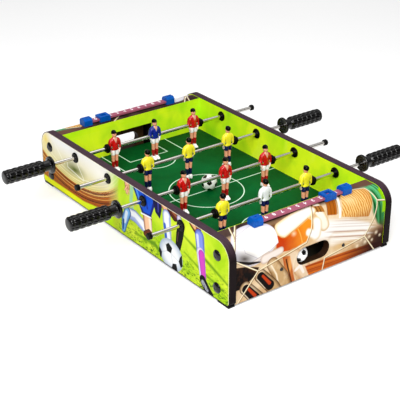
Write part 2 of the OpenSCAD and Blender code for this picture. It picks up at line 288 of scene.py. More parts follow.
class Print:
    """A printed picture, laid down shape by shape over (u, v) in millimetres."""

    def __init__(self, net, u, v, colour):
        self.net, self.colour = net, colour
        self.p = net.xyz(u, v, 1)

    def over(self, mask, colour, amount=1):
        if amount < 1:
            mask = mask * amount
        self.colour = self.net.mix(mask, self.colour, colour)

    def lay(self, gap, share, colour, edge, soft, amount):
        inputs = (self.colour, colour, edge or colour, gap, share, 1 / soft, amount)
        self.colour = self.net.call(LAY, *inputs)[0]

    def limb(self, points, colour, edge=None, soft=0.5, amount=1):
        """Tapered round-ended strokes through (u, v, radius) points, edge coloured at the rims."""
        gap, share = FAR, FAR
        for (x0, y0, r0), (x1, y1, r1) in zip(points, points[1:]):
            dx, dy = x1 - x0, y1 - y0
            square = dx * dx + dy * dy
            along = (dx / square, dy / square, 0)
            gap, share = self.net.call(
                STROKE, self.p, (x0, y0, 1), along, (dx, dy, 0), r0, r1 - r0, gap, share
            )
        self.lay(gap, share, colour, edge, soft, amount)

    def shade(self, points, colour, soft, amount=1):
        """A limb of one colour."""
        self.limb(points, colour, None, soft, amount)

    def line(self, points, width, colour, soft=0.4, amount=1):
        self.limb([(x, y, width / 2) for x, y in points], colour, None, soft, amount)

    def lines(self, chains, *look):
        for points in chains:
            self.line(points, *look)

    def oval(self, x, y, rx, ry, turn):
        """Gap outside an ellipse's rim, share of its radius, and how far it fades in from the rim."""
        c, s = math.cos(math.radians(turn)), math.sin(math.radians(turn))
        first = (c / rx, s / rx, -(x * c + y * s) / rx)
        second = (-s / ry, c / ry, (x * s - y * c) / ry)
        return self.net.call(OVAL, self.p, first, second, min(rx, ry))

    def blob(self, x, y, rx, ry, colour, edge, turn, soft):
        gap, share, _ = self.oval(x, y, rx, ry, turn)
        self.lay(gap, share, colour, edge, soft, 1)

    def glow(self, x, y, rx, ry, colour, turn=0, amount=1):
        """An ellipse that fades out from its middle."""
        self.over(self.oval(x, y, rx, ry, turn)[2], colour, amount)

    def ring(self, x, y, rx, ry, turn, width, colour, amount, where):
        gap = self.oval(x, y, rx, ry, turn)[0]
        self.over(self.net.within(abs(gap) - width / 2, 1) * where, colour, amount)

    def poly(self, points, colour, soft=0.5, round_by=0, amount=1):
        """A convex polygon, its corners given in order either way round."""
        turn = sum(a[0] * b[1] - a[1] * b[0] for a, b in zip(points, points[1:] + points[:1]))
        gap = -FAR
        for a, b in zip(points, points[1:] + points[:1]):
            dx, dy = b[0] - a[0], b[1] - a[1]
            size = math.copysign(math.hypot(dx, dy), turn)
            nx, ny = dy / size, -dx / size
            gap = self.net.call(SIDE, self.p, (nx, ny, -(nx * a[0] + ny * a[1])), gap, round_by)[0]
        self.lay(gap, 0, colour, None, soft, amount)


# ---------- meshes


def new_object(name, data):
    made = bpy.data.objects.new(name, data)
    bpy.context.scene.collection.objects.link(made)
    return made


def mesh_object(name, bm, materials, sharp=35):
    """An object from a bmesh in millimetres."""
    bmesh.ops.recalc_face_normals(bm, faces=bm.faces)
    mesh = bpy.data.meshes.new(name)
    bm.to_mesh(mesh)
    bm.free()
    mesh.transform(Matrix.Scale(MM, 4))
    for material in materials:
        mesh.materials.append(material)
    for face in mesh.polygons:
        face.use_smooth = True
    mesh.set_sharp_from_angle(angle=math.radians(sharp))
    return new_object(name, mesh)


def bridge(bm, lower, painted_top_light, slot=0):
    """Faces between two closed rows of as many points each."""
    for a, b, c, d in zip(lower, lower[1:] + lower[:1], painted_top_light[1:] + painted_top_light[:1], painted_top_light):
        bm.faces.new((a, b, c, d)).material_index = slot


def loft(bm, rings, slot=0):
    """A capped skin over rings of as many points each."""
    rows = [[bm.verts.new(p) for p in ring] for ring in rings]
    for lower, painted_top_light in zip(rows, rows[1:]):
        bridge(bm, lower, painted_top_light, slot)
    for cap in (rows[0][::-1], rows[-1]):
        bm.faces.new(cap).material_index = slot


def lathe(bm, profile, place, segments=48):
    """(radius, height) points turned about the place matrix's Z axis.
    A profile that starts and ends on the axis gives a solid, any other one is closed on itself."""
    solid = profile[0][0] == 0 and profile[-1][0] == 0
    angles = [2 * math.pi * i / segments for i in range(segments)]
    rows = []
    for r, h in profile[1:-1] if solid else profile:
        ring = [Vector((r * math.cos(a), r * math.sin(a), h)) for a in angles]
        rows.append([bm.verts.new(place @ point) for point in ring])
    if not solid:
        rows.append(rows[0])
    for lower, painted_top_light in zip(rows, rows[1:]):
        bridge(bm, lower, painted_top_light)
    if solid:
        for h, row in ((profile[0][1], rows[0][::-1]), (profile[-1][1], rows[-1])):
            tip = bm.verts.new(place @ Vector((0, 0, h)))
            for a, b in zip(row, row[1:] + row[:1]):
                bm.faces.new((a, b, tip))


def stand_in(name, bm, materials, body, node, sharp=35):
    """An object that stands in for a CAD node."""
    made = mesh_object(name, bm, materials, sharp)
    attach(made, body)
    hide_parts(node)


def towards_x(x, y, z, side):
    """A place at (x, y, z) whose Z axis points along X, on the given side."""
    return Matrix.Translation((x, y, z)) @ Matrix.Rotation(side * math.pi / 2, 4, "Y")


def arc(cx, cy, r, start, end, steps=6):
    """(radius, height) points on an arc, in degrees from +radius towards +height."""
    span = [math.radians(start + (end - start) * i / steps) for i in range(steps + 1)]
    return [(cx + r * math.cos(a), cy + r * math.sin(a)) for a in span]


def dress(node, material):
    """Gives a CAD node its material."""
    data = nodes[node].data
    data.materials.clear()
    data.materials.append(material)


# ---------- plain finishes


def moulded(name, colour, rough, grain, shade, specular=0.5, coat=0):
    """Moulded plastic: faint cloudy colour and a fine skin."""
    net = Net(name)
    cloud = net.ramp(net.noise(0.25, 3, 0.6), 0.3, 0.7)
    paint = net.mix(cloud, dimmed(colour, shade), colour)
    bump = (net.noise(1.6, 2, 0.6), grain)
    return net.finish(paint, rough, specular, coat, bump=bump)


def steel(name, colour, rough):
    """Metal with fine turning lines round the X axis."""
    net = Net(name)
    rings = net.noise(1, 3, 0.6, stretch=(3.5, 0.2, 0.2))
    spots = net.ramp(net.noise(0.08, 4, 0.6), 0.35, 0.75)
    paint = net.mix(spots * 0.6, colour, dimmed(colour, 0.8))
    return net.finish(paint, (rings - 0.5) * 0.08 + rough, metal=1, bump=(rings, 0.004))


black_gloss = moulded("gloss_black", "#020101", 0.17, 0.01, 0.6, 0.42)
black_matt = moulded("matt_black", "#050404", 0.42, 0.015, 0.6, 0.1)
black_rubber = moulded("soft_black", "#070505", 0.45, 0.02, 0.65, 0.1)
bright_blue = moulded("bright_blue", "#0056b4", 0.3, 0.01, 0.7, 0.12)
mauve_plastic = moulded("mauve_bar", "#a3566c", 0.4, 0.01, 0.85, 0.2)
digit_white = moulded("white_digits", "#f6eef2", 0.45, 0.006, 0.93, 0.2)
ball_white = moulded("white_ball", "#f0f0ee", 0.22, 0.006, 0.94, coat=0.3)
chrome = steel("bright_chrome", "#dad6d0", 0.12)
zinc = steel("grey_zinc", "#a8a8a4", 0.3)
black_steel = moulded("dark_steel", "#0c0b0c", 0.35, 0.01, 0.6, 0.3)


def fibreboard(net):
    """Colour and grain of a raw fibreboard edge."""
    grain = net.noise(0.9, 4, 0.7, stretch=(1, 1, 1.6))
    return net.mix(net.ramp(grain, 0.3, 0.7), "#6e4a2c", "#b58a58")


def raw_board():
    net = Net("fibreboard")
    return net.finish(fibreboard(net), 0.8, bump=(net.noise(1.2, 4, 0.7), 0.06))


def edge_strip():
    """Dark strip, with a painted mauve sheen where it faces up: painted light, lighter towards the top."""
    net = Net("dark_strip")
    lines = net.noise(0.5, 3, 0.6, stretch=(4, 0.15, 0.15))
    # painted light: both grain tones turn lighter and mauve towards the top of the strip, where it faces
    # up
    painted_top_light = net.ramp(net.z, 74, 98)
    deep = net.mix(painted_top_light, "#0a0305", "#33232a")
    light = net.mix(painted_top_light, "#14080a", "#4c3a44")
    colour = net.mix(net.ramp(lines, 0.3, 0.7), deep, light)
    return net.finish(colour, 0.42, 0.06, bump=(lines, 0.02))


def lime(net):
    """The lime green of the inner walls: yellow lights and darker green clouds."""
    soft = net.noise(0.012, 2, 0.5, 0.6)
    fine = net.noise(0.03, 3, 0.5, 0.4, stretch=(1, 1, 0.5))
    colour = net.mix(net.ramp(soft, 0.35, 0.62), "#b4f018", "#e6ff22")
    colour = net.mix(net.ramp(fine, 0.5, 0.75) * 0.5, colour, "#8cd81c")
    return net.mix(net.ramp(fine, 0.42, 0.25) * 0.5, colour, "#eaff50")


def lime_board():
    net = Net("lime_face")
    return net.board(lime(net), 0.2)


# ---------- side panels' print


def side_print():
    """Grass, a floodlit stadium's curve, players' legs and a ball, on the outer faces."""
    net = Net("stadium_print")
    ramp, mix = net.ramp, net.mix
    middle = (PANEL_OUTER + PANEL_INNER) / 2
    outside = ramp(abs(net.x), middle, middle + 1)
    u = HALF_LENGTH - net.y * net.math("SIGN", net.x)
    v = net.z
    grass = net.noise(0.02, 3, 0.55, 0.5)
    blades = net.noise(0.35, 4, 0.7, stretch=(1, 0.5, 1))
    base = mix(ramp(grass, 0.35, 0.65), "#bce020", "#e6f452")
    low = ramp(v, 56, 10)
    base = mix(ramp(blades, 0.5, 0.62) * low, base, "#3c7a0a")
    art = Print(net, u, v, base)
    limb, shade, line, poly, glow, over = art.limb, art.shade, art.line, art.poly, art.glow, art.over

    # dark streaks across the grass
    for points in (
        [(112, 72, 1), (60, 56, 3), (5, 38, 1.5)],
        [(104, 44, 0.6), (60, 32, 2), (10, 22, 0.6)],
        [(230, 20, 1), (180, 24, 4), (150, 14, 1)],
    ):
        shade(points, "#74a40c", 4, 0.9)

    # the stadium: sky glow, pitch, stands and their lights, above a band of grass
    sky = mix(ramp(v, 45, 92), "#e6dc9c", "#fbf9f2")
    far = ramp(u + (net.noise(0.03, 2) - 0.5) * 30, 272, 306)
    over(far, sky)
    x, y, rx, ry, turn = 400, 130, 150, 92, -3
    q = art.oval(x, y, rx, ry, turn)[1]
    stands = ramp(q, 0.985, 1) * far
    rows = net.noise(130, 2, 0.6, along=q)
    wood = mix(ramp(rows, 0.4, 0.6), "#541c00", "#e68a1c")
    wood = mix(ramp(u, 430, 508) * 0.4, wood, "#e0a83c")
    over(stands, wood)
    crowd = ramp(net.noise(0.7, 3, 0.7), 0.52, 0.6) * ramp(u, 400, 350)
    over(stands * crowd * ramp(q, 1.12, 1.06), "#fff0c0", 0.9)
    for share, width, colour in (
        (0.86, 1.4, "#fffbe0"), (0.92, 1.8, "#fff6c8"), (0.96, 1.2, "#fdf3b4"), (1, 2, "#fff0a0"),
        (1.045, 1.6, "#6a300a"), (1.08, 1.2, "#ffdc90"), (1.14, 1, "#ffcf7c"), (1.2, 1.6, "#55260a"),
    ):
        art.ring(x, y, rx * share, ry * share, turn, width, colour, 0.85, far)
    glow(495, 84, 26, 30, "#fbe682", 0, 0.9)
    glow(418, 101, 84, 27, "#ffffff", -6)
    glow(330, 86, 50, 30, "#fffdf4", 0, 0.9)
    glow(404, 61, 44, 16, "#66741c", -4)
    beams = ((426, 58), (377, 51)), ((398, 78), (376, 53)), ((426, 58), (428, 74)), ((470, 90), (436, 60))
    art.lines(beams, 1.5, "#fffff0", 0.8, 0.9)
    bank = ramp(u, 380, 300) * 12 + 14
    band = ramp(bank - v, -1.2, 1.2) * ramp(u, 268, 296)
    over(band, mix(ramp(u, 300, 420), "#ccf01c", "#f6fc10"))

    # first player: shorts, standing leg, trailing leg
    skin, rim = "#f6c8a4", "#8a4628"
    shade([(236, 97, 5), (240, 70, 4), (232, 52, 2)], "#7cc8e8", 3, 0.5)
    limb([(250, 98, 7), (249, 91, 6.5)], skin, rim)
    for tip, length in ((243.6, 82), (248, 78), (252.4, 79), (256, 83)):
        limb([(250, 91, 2.4), (tip, length, 1.5)], skin, rim)
    limb([(206, 42, 10), (229, 49, 10.5), (248, 48, 9.5)], "#fbfcff", "#4a6cb8")
    shade([(212, 36, 3), (231, 43, 3.5), (246, 42, 3)], "#a8b8e8", 2.5, 0.8)
    limb([(250, 48, 9), (259, 30, 8.5), (263, 13, 5)], "#8cc4f2", "#0c2c7c")
    shade([(253, 46, 3.5), (259, 28, 3)], "#eef6ff", 2, 0.9)
    shade([(262, 30, 2), (264, 14, 1.5)], "#12388c", 1.2, 0.9)
    limb([(197, 64, 12), (195, 42, 10.5)], "#fad2b0", rim)
    shade([(190, 58, 3.5), (188, 44, 3)], "#fff0de", 2.5, 0.9)
    limb([(192, 35, 8), (203, 31, 5)], "#7c3418", "#3c180c", amount=0.95)
    poly([(237, 101), (171, 101), (179, 82), (187, 65), (212, 63), (224, 82)], "#0a328c", 0.8, 1.5)
    poly([(233, 101), (178, 101), (184, 84), (190, 68), (209, 66), (220, 84)], "#1068d8", 1.6)
    shade([(226, 99, 3), (212, 74, 2)], "#6cacf6", 2, 0.8)
    shade([(204, 99, 2.5), (196, 76, 2)], "#0a3694", 2, 0.8)
    line([(213, 61.5), (187, 64)], 2.4, "#f4f8ff")
    # second player: shorts with a white hem, a bent leg in front of the ball
    poly([(184, 101), (158, 101), (159, 88), (164, 72), (175, 78)], "#16165c", 0.8, 1)
    shade([(168, 96, 1.6), (168, 82, 1.2)], "#5c5cc0", 1.2, 0.8)
    limb([(153, 100, 8.5), (144, 91, 8.5)], "#f4c49c", rim)
    limb([(138, 98, 7.5), (127, 92, 8.5)], "#6c3014", "#341408")
    shade([(131, 97, 3), (123, 93, 2.5)], "#b4704a", 1.8, 0.9)
    limb([(147, 84, 10), (146, 66, 9.5), (144, 50, 8.5)], "#f6f8ff", "#6c84c8")
    shade([(152, 68, 3), (149, 48, 3)], "#2468c8", 1.4, 0.9)
    shade([(139, 82, 2.5), (138, 60, 2)], "#b4c0e4", 2, 0.9)
    limb([(111, 82, 8), (115, 66, 8.5), (119, 46, 6.5)], "#0a080c", "#020203")
    limb([(116, 92, 6), (110, 85, 5)], "#e8e0f4", "#5c548c")
    line([(118, 70), (121, 54)], 1.4, "#8a5a70", 1, 0.8)
    # the ball
    art.blob(137, 24.5, 29, 25, "#fbfcfe", "#b9c6d6", 0, 0.6)
    dark = "#0c0c10"
    poly([(150, 36), (143, 42), (134, 37), (137, 27), (147, 27)], dark)
    poly([(115, 30), (110, 36), (108.5, 18), (113, 14), (118, 22)], dark)
    poly([(133, 12), (124, 15), (121, 5), (127, 1), (136, 3)], dark)
    poly([(166, 26), (160, 20), (161, 10), (165, 10), (168, 20)], dark, 0.8)
    seams = ((150, 36), (160, 44)), ((137, 27), (118, 22)), ((147, 27), (160, 20)), ((137, 27), (133, 12))
    art.lines(seams, 0.5, "#aab4c2", 0.5, 0.8)
    # third player's leg, walking out of the picture
    limb([(84, 100, 9), (73, 93, 9.5)], "#9c5020", "#3c180a")
    shade([(86, 99, 3.5), (79, 94, 3)], "#f8cc98", 2, 0.9)
    limb([(68, 85, 10.5), (65, 61, 9.5)], "#98a8ec", "#5464bc")
    shade([(73, 84, 3), (70, 64, 2.5)], "#e4e8ff", 2, 0.9)
    limb([(65, 59, 9.5), (60, 24, 7.5)], "#faf6ff", "#c0b4e0")
    limb([(63, 58, 7.5), (58.5, 25, 6)], "#dc60cc", "#b45cc4")
    limb([(60, 19, 7.5), (53, 11, 8), (42, 4, 6)], "#16161e", "#050509")
    grit = net.noise(0.5, 2, 0.8)
    shade([(60, 15, 4), (50, 7, 3)], "#e8eaf6", 1.5, 0.6)
    specks = ramp(grit, 0.52, 0.6)
    over(specks * ramp(art.oval(56, 11, 14, 10, 30)[1], 1.1, 0.8), dark, 0.9)

    # cream margin beside the edge band
    r, yc, zc = PANEL_ROUND
    past = net.vec("MAXIMUM", net.xyz(abs(net.y) - yc, net.z - zc), (0, 0, 0))
    rim_gap = r - net.vec("LENGTH", past)
    margin = 2.1
    over(net.within(rim_gap - margin, 0.5), "#fdf8e0", 0.9)
    colour = mix(outside, lime(net), net.deepen(art.colour))
    return net.board(colour, 0.04)


# ---------- end boxes' print


def end_print():
    """A ball in the net behind a keeper's glove, wrapped over the rounded end boxes."""
    net = Net("goal_print")
    ramp, mix = net.ramp, net.mix
    r, yc, zc = END_ROUND
    u = net.x * -net.math("SIGN", net.y)
    out = net.most(abs(net.y) - yc, 0)
    up = net.most(net.z - zc, 0)
    angle = net.math("ARCTAN2", up, out)
    flat = net.most(yc - abs(net.y), 0)
    s = net.least(net.z, zc) + angle * r + flat
    deep = r - net.length(out, up)

    cloud = net.noise(0.03, 4, 0.6, 0.8)
    base = mix(ramp(cloud, 0.35, 0.65), "#dcb98c", "#f4e2c4")
    art = Print(net, u, s, base)
    limb, shade, line, poly, glow, over = art.limb, art.shade, art.line, art.poly, art.glow, art.over
    cream, white, dark = "#fbf0dc", "#fffdf9", "#140806"

    # back wall of the goal, dark under the counter and brown at the right
    over(ramp(s, 103, 112), mix(ramp(cloud, 0.4, 0.6), "#4c3a38", "#6b5650"))
    glow(-60, 104, 40, 14, "#8a6a50", 0, 0.9)
    over(ramp(u, 84, 118) * ramp(s, 104, 112), "#8d6c5a", 0.8)
    # green strokes at the right edge
    strokes = net.noise(0.2, 3, 0.6, along=u + s * 0.16)
    leaf = mix(ramp(strokes, 0.38, 0.64), "#0c6a30", "#84e0a4")
    leaf = mix(ramp(s, 92, 62) * 0.55, leaf, "#1c6c20")
    poly([(120, 111), (146, 112), (146, 34), (128, 44), (115, 70)], leaf, 4, 4)
    poly([(135, 62), (146, 60), (146, 104), (136, 98)], "#a8dc1e", 2.5)
    glow(120, 108, 18, 9, "#8fdcb0", -10, 0.8)
    # brown shade at the lower right
    over(ramp(u + s * -0.6, 62, 112) * ramp(s, 52, 34), "#7a4c34", 0.85)
    over(ramp(u + s * -0.3, 86, 126) * ramp(s, 42, 24), "#3a190c", 0.92)

    # sleeve: pale cloth with long soft strokes that run down to the right
    limb([(14, 70, 18), (62, 58, 16), (104, 46, 10)], white, "#f3e2cc", 5)
    limb([(40, 46, 12), (96, 38, 6)], "#fbf4e8", "#eedcc4", 5)
    folds = net.noise(0.22, 3, 0.6, along=s + u * 0.28)
    cloth = ramp(art.oval(72, 52, 56, 27, -15)[1], 1, 0.6)
    over(ramp(folds, 0.5, 0.72) * cloth, "#c49c84", 0.75)
    over(ramp(folds, 0.48, 0.36) * cloth, white, 0.9)
    glow(54, 32, 34, 11, "#eac890", -6, 0.8)

    # ribbed cuff
    ribs = net.math("SINE", u * 1.5 + s * 0.12 + cloud * 10 + net.noise(0.09, 2) * 9)
    gold = mix(ramp(ribs, -0.9, 0.9), "#e0a04c", "#ffdf9e")
    gold = mix(ramp(s, 80, 64) * 0.6, gold, "#b8702a")
    gold = mix(ramp(u, 104, 120) * 0.5, gold, "#cc8a3c")
    poly([(53, 79), (80, 70), (108, 63), (118, 88), (121, 110), (95, 118), (72, 112)], gold, 0.8, 4)
    glow(78, 98, 22, 14, "#ffe9b8", -12, 0.7)
    poly([(29, 88), (46, 84), (58, 108), (43, 112)], "#c07828", 1.2, 3)
    for k in range(4):
        line([(30 + 6 * k, 88 - k), (41 + 6 * k, 110 - k)], 0.9, "#84480e", 1.2, 0.7)
    limb([(50, 79, 2.4), (56, 94, 2.2), (65, 111, 2.2)], white, "#ecd4a4", 0.8)
    limb([(20, 76, 9), (18, 96, 8.5), (24, 110, 6)], "#fdf6e6", "#e0bc80", 1.5)
    poly([(8, 100), (28, 94), (30, 106), (10, 112)], "#c08a44", 1, 2)
    for k in range(3):
        line([(12 + 5 * k, 98 - k), (15 + 5 * k, 109 - k)], 1.2, "#4c2810", 0.8, 0.8)

    # warm light between the ball and the glove
    warm = mix(ramp(u + (cloud - 0.5) * 30, -58, -18), "#d4560c", "#f5a53a")
    poly([(-70, 60), (-70, 84), (-8, 96), (4, 86), (-10, 62), (-40, 56)], warm, 1.2, 4)
    glow(-37, 80, 7, 6, "#ffe8c8", 0, 0.9)
    line([(-28, 84), (-22, 62)], 1.6, "#fbd070", 1.5, 0.8)
    poly([(-78, 106), (-52, 101), (-62, 90), (-74, 88)], "#8c6846", 1.5, 3)

    # ball at the left: white panels with soft seams, grey below, then deep shade
    art.blob(-104, 88, 40, 33, white, "#e2dee8", 20, 0.8)
    poly([(-128, 104), (-92, 117), (-66, 98), (-66, 76), (-98, 60), (-124, 78)], white, 0.8)
    seams = (
        [(-128, 104), (-124, 78)], [(-124, 78), (-98, 60)],
        [(-98, 60), (-66, 76)], [(-128, 104), (-92, 117)],
    )
    art.lines(seams, 0.8, "#cfc8d4", 0.8, 0.9)
    glow(-126, 70, 30, 15, "#6c645e", -24)
    limb([(-112, 58, 3), (-84, 66, 2)], "#efe6e0", "#b0a098", 1)
    gloom = mix(ramp(cloud, 0.46, 0.56), dark, "#4c2e1a")
    poly([(-141, 64), (-120, 56), (-98, 51), (-106, 38), (-128, 24), (-143, 24)], gloom, 1.5, 2)
    shade([(-141, 70, 1.4), (-118, 60, 2.4), (-98, 56, 1)], "#2c2422", 1.2)
    limb([(-90, 58, 8), (-62, 62, 6)], "#f8eee6", "#d4bcaa", 1.6)

    # thumb and palm of the glove
    limb([(-53, 91, 12), (-20, 100, 11.5), (8, 106, 9)], white, "#eed29c", 0.9)
    line([(-63, 84), (-54, 79), (-30, 86), (-4, 94)], 0.9, "#d89a48", 0.8, 0.9)
    limb([(-10, 74, 6), (4, 66, 9), (8, 84, 8)], white, "#efd8ac", 2.5)

    # fingers: pale, then two with dark ends and a bright stripe
    limb([(-38, 44, 14), (-24, 26, 15), (-12, 8, 12)], "#f1dcc0", "#d4a878", 2)
    for k, width in enumerate((1.6, 1, 1.4)):
        art.ring(-6 + 3 * k, 30, 30 - 3 * k, 38 - 3 * k, -20, width, cream, 0.6, ramp(u, -26, -34))
    flame = mix(ramp(cloud, 0.4, 0.6), "#c8661c", "#f2b060")
    poly([(-58, 50), (-44, 48), (-33, 4), (-46, 2)], flame, 1.6, amount=0.9)
    shade([(-51, 44, 1.2), (-46, 26, 1.4), (-39, 2, 1.2)], "#5a2c10", 1, 0.9)
    shade([(-33, 20, 2), (-24, 25, 3), (-17, 12, 2)], "#fff6f0", 1.5, 0.9)
    pale = mix(ramp(cloud, 0.4, 0.6), "#d8b98c", "#f2dfc0")
    limb([(-76, 46, 10), (-58, 18, 12), (-50, -4, 12)], pale, "#8a6238", 0.8)
    shade([(-78, 44, 1), (-68, 26, 1.4), (-62, 2, 1)], "#fbf0da", 0.8, 0.9)
    for x, y in ((-98, 35), (-124, 24)):
        limb([(x, y, 10), (x + 24, y - 27, 11), (x + 34, y - 44, 11)], pale, "#5c3a1c", 0.8)
        limb([(x + 1, y - 2, 6.5), (x + 19, y - 23, 7.5)], dark, "#2c140a", 0.7)
        limb([(x + 5, y - 3, 2.2), (x + 18, y - 19, 3)], "#d0561e", "#8c3410", 0.7)
        line([(x - 6, y - 4), (x + 10, y - 25)], 0.9, "#fbeed6", 0.7, 0.9)

    # orange band along the bottom, dark at its right, with sparks above it
    drag = net.noise(0.3, 3, 0.6, along=s + u * 0.06)
    band = mix(ramp(drag, 0.36, 0.66), "#a8480c", "#f59a3c")
    band = mix(ramp(u, 56, 118), band, "#451806")
    poly([(-16, 21), (36, 20), (95, 17), (150, 11), (150, -8), (-2, -8), (-9, 8)], band, 1.6, 1)
    sparks = (104, 22, 6), (112, 28, 5), (88, 20, 5), (126, 31, 5), (118, 21, 4), (96, 28, 4), (134, 24, 4)
    for x, y, size in sparks:
        glow(x, y, size, size, "#fff2d8")

    # the net's cords, each with a darker underside
    cords = (
        [(-104, 136), (-133, 100), (-142, 84)],
        [(-141, 70), (-102, 43), (-14, 59), (2, 93), (14, 112), (40, 132)],
        [(-102, 43), (-139, 1)],
        [(19, 0), (23, 22), (102, 32), (119, 57), (126, 84), (118, 110), (96, 118)],
        [(102, 32), (125, 1)],
        [(126, 84), (142, 80)],
        [(-133, 100), (-119, 131)],
    )
    for points in cords:
        line([(x + 0.7, y - 1) for x, y in points], 2.4, "#9c7448", 0.9, 0.7)
        line(points, 1.7, "#fdf4d6", 0.5)

    # the printed skin, raw board under it darkened by painted shade, the ball slot's wall in dark brown,
    # and the lime inner face
    printed = net.deepen(art.colour)
    lip = ramp(abs(net.y), END_INNER + 0.2, END_INNER - 0.2)
    # painted shade: the board inside the end box is mixed most of the way to near black
    painted_shade_board = mix(0.85, fibreboard(net), "#160b07")
    colour = mix(ramp(deep, 0.25, 0.35), printed, painted_shade_board)
    hole = net.length(net.most(abs(u) - SLOT_HALF, 0), net.z - SLOT_Z)
    inside = ramp(hole, SLOT_R + 0.05, SLOT_R - 0.05)
    colour = mix(inside * ramp(deep, 0.1, 0.2), colour, "#2c1a10")
    colour = mix(lip, colour, lime(net))
    return net.board(colour, 0.05)


# ---------- playfield's print


def field_print():
    """Green turf with white lines, painted shade darkening it towards the walls, and raw board on the
    playfield's edges.
    """
    net = Net("pitch_print")
    ramp, mix = net.ramp, net.mix
    x, y = abs(net.x), abs(net.y)
    cloud = net.noise(0.012, 3, 0.5, 0.8)
    fine = net.noise(0.25, 4, 0.7)
    out = net.vec("LENGTH", net.vec("MULTIPLY", net.mm, (1, 0.6, 0)))
    green = mix(ramp(cloud, 0.35, 0.65), "#00481c", "#005e2c")
    # painted shade: the green darkens away from the middle, towards the walls and ends
    green = mix(ramp(out, 60, 150) * 0.75, green, "#0a3a10")
    green = mix(ramp(fine, 0.4, 0.7) * 0.25, green, "#146a26")
    # the marking, as the distance from its nearest line
    half_line, goal_line, penalty_line = 0.8, 162, 126.5
    circle = abs(net.vec("LENGTH", net.vec("MULTIPLY", net.mm, (1, 1, 0))) - 60)
    goal_area = abs(net.most(x - 38, goal_line - y))
    penalty_area = abs(net.most(x - 65, penalty_line - y))
    dee = abs(net.length(x, y - 152) - 39)
    dee = net.most(dee, y - penalty_line)
    spot = net.length(x, y) - 1.2
    lines = net.least(y, circle, goal_area, penalty_area, dee, spot)
    colour = mix(net.within(lines - half_line, 0.35), green, "#d9f4de")
    side = ramp(net.z, FIELD_TOP - 0.1, FIELD_TOP - 0.5)
    colour = mix(side, colour, fibreboard(net))
    return net.finish(colour, 0.46, 0.03, bump=(net.noise(0.7, 2), 0.008))


for material, dressed in (
    (field_print(), "playfield"),
    (side_print(), "side_panel_left side_panel_right"),
    (edge_strip(), "edge_band_left edge_band_right"),
    (end_print(), "end_panel_near end_panel_far end_top_near end_top_far"),
    (lime_board(), "goal_wall_near goal_wall_far"),
    (raw_board(), "field_rails corner_blocks"),
    (black_matt, "ball_tray_near ball_tray_far"),
    (zinc, "panel_screws"),
    (black_steel, "tray_screws"),
    (black_rubber, "feet"),
    (mauve_plastic, "score_bars"),
    (bright_blue, "score_blocks score_slider_near score_slider_far"),
):
    for node in dressed.split():
        dress(node, material)


# ---------- score digits


COUNTER_Y, BAR_TOP = 223.5, 103
PITCH = 14.5


def digits(name, y, first_x, step, upright):
    """The raised digits 0 to 9 on a counter's bar."""
    bm = bmesh.new()
    for d in range(10):
        curve = bpy.data.curves.new(name, "FONT")
        curve.body = str(d)
        curve.size = 9.5
        curve.offset = 0.16
        curve.extrude = 0.12
        curve.align_x, curve.align_y = "CENTER", "CENTER"
        text = new_object(name, curve)
        bpy.context.view_layer.update()
        shaped = text.evaluated_get(bpy.context.evaluated_depsgraph_get())
        mesh = bpy.data.meshes.new_from_object(shaped)
        place = Matrix.Translation((first_x + step * d, y, BAR_TOP + 0.1))
        mesh.transform(place @ Matrix.Rotation(0 if upright else math.pi, 4, "Z"))
        bm.from_mesh(mesh)
        bpy.data.objects.remove(text)
        bpy.data.meshes.remove(mesh)
    bmesh.ops.remove_doubles(bm, verts=bm.verts, dist=1e-4)
    made = mesh_object(name, bm, [digit_white])
    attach(made, "cabinet")


digits("score_digits_near", -COUNTER_Y, 4.5 * PITCH, -PITCH, False)
digits("score_digits_far", COUNTER_Y, -4.5 * PITCH, PITCH, True)


# ---------- turned black parts


FLANGE = [
    (ROD_HOLE, 0), (8.3, 0), (8.6, 0.3), *arc(7, 0.9, 1.6, 0, 90),
    (5.3, 2.5), (5.1, 2.2), (4.6, 2.2), (4.4, 2.5), (3.5, 2.5), (ROD_HOLE, 2.3),
]
SLEEVE = [(ROD_HOLE, -12), (5.45, -12), (5.45, 0.02), (ROD_HOLE, 0.02)]
CAP_DOME = [
    (0, 1.7), (3, 1.7), (3, 0), (8.3, 0), (8.3, 0.5), (7.6, 1.4), (6.2, 2.4), (4.6, 3.1),
    (3, 3.5), (2.2, 3.55), (1.9, 3.2), (1.2, 3), (0, 3),
]
bushes, rings, caps = bmesh.new(), bmesh.new(), bmesh.new()
for side in (-1, 1):
    for y in ROD_Y.values():
        outer_face = towards_x(side * PANEL_OUTER, y, ROD_Z, side)
        lathe(bushes, FLANGE, outer_face)
        lathe(bushes, SLEEVE, outer_face)
        lathe(rings, FLANGE, towards_x(side * PANEL_INNER, y, ROD_Z, -side))
    for y in (-CAP_Y, CAP_Y):
        for z in CAP_Z:
            lathe(caps, CAP_DOME, towards_x(side * PANEL_OUTER, y, z, side))
stand_in("rod_bush_flanges", bushes, [black_matt], "cabinet", "rod_bushes")
stand_in("bush_inner_rings", rings, [black_matt], "cabinet", "bush_rings")
stand_in("screw_cap_domes", caps, [black_gloss], "cabinet", "screw_caps")


# ---------- handles


RIDGES = 14
CELL = (0, 0.08, 0.17, 0.33, 0.5, 0.67, 0.83, 0.92)
BLOCKS = 6
GRIP_START = 16.9
DOME = 5.6


